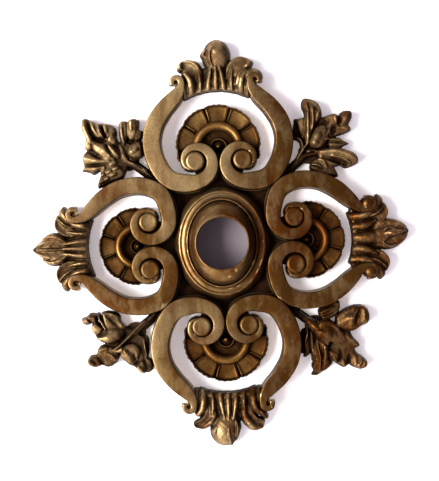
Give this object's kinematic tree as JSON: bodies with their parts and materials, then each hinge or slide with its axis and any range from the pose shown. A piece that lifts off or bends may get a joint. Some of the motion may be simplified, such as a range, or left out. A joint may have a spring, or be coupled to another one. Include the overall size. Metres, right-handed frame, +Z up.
{
  "type": "wall plate cover",
  "caption": "Pierced cast-brass rosette that covers the wall plate of a bell push: scroll loops, half shells, palmettes and leaf sprays round an oval boss with a round hole.",
  "frame": {"origin": "on the wall plane, on the axis of the round hole in the boss", "axes": "+Z up the wall, +X to the right as seen from the room, +Y into the wall, so the front faces -Y"},
  "size_m": [0.1188, 0.0125, 0.1278],
  "materials": {
    "scroll_brass": "aged antique brass, brushed on the flat tops",
    "leaf_brass": "aged antique brass with dark recesses",
    "shell_brass": "aged antique brass with dark recesses",
    "boss_brass": "aged antique brass, smooth turned look",
    "back_brass": "dark unpolished brass",
    "rivet_brass": "plain brass, flush heads"
  },
  "bodies": {
    "root": {"back_plate": "back_brass", "boss_dome": "boss_brass", "boss_ring": "boss_brass", "boss_rivet_lower_left": "rivet_brass", "boss_rivet_lower_right": "rivet_brass", "boss_rivet_upper_left": "rivet_brass", "boss_rivet_upper_right": "rivet_brass", "bud_lower_left": "leaf_brass", "bud_lower_right": "leaf_brass", "bud_upper_left": "leaf_brass", "bud_upper_right": "leaf_brass", "leaf_spray_lower_left": "leaf_brass", "leaf_spray_lower_right": "leaf_brass", "leaf_spray_upper_left": "leaf_brass", "leaf_spray_upper_right": "leaf_brass", "palmette_bottom": "leaf_brass", "palmette_left": "leaf_brass", "palmette_right": "leaf_brass", "palmette_top": "leaf_brass", "scroll_bottom_left": "scroll_brass", "scroll_bottom_right": "scroll_brass", "scroll_left_lower": "scroll_brass", "scroll_left_upper": "scroll_brass", "scroll_right_lower": "scroll_brass", "scroll_right_upper": "scroll_brass", "scroll_rivet_bottom_left": "rivet_brass", "scroll_rivet_bottom_right": "rivet_brass", "scroll_rivet_left_lower": "rivet_brass", "scroll_rivet_left_upper": "rivet_brass", "scroll_rivet_right_lower": "rivet_brass", "scroll_rivet_right_upper": "rivet_brass", "scroll_rivet_top_left": "rivet_brass", "scroll_rivet_top_right": "rivet_brass", "scroll_top_left": "scroll_brass", "scroll_top_right": "scroll_brass", "shell_bottom": "shell_brass", "shell_left": "shell_brass", "shell_pin_bottom": "shell_brass", "shell_pin_left": "shell_brass", "shell_pin_right": "shell_brass", "shell_pin_top": "shell_brass", "shell_right": "shell_brass", "shell_top": "shell_brass", "spray_rivet_lower_left": "rivet_brass", "spray_rivet_lower_right": "rivet_brass", "spray_rivet_upper_left": "rivet_brass", "spray_rivet_upper_right": "rivet_brass"}
  },
  "joints": []
}
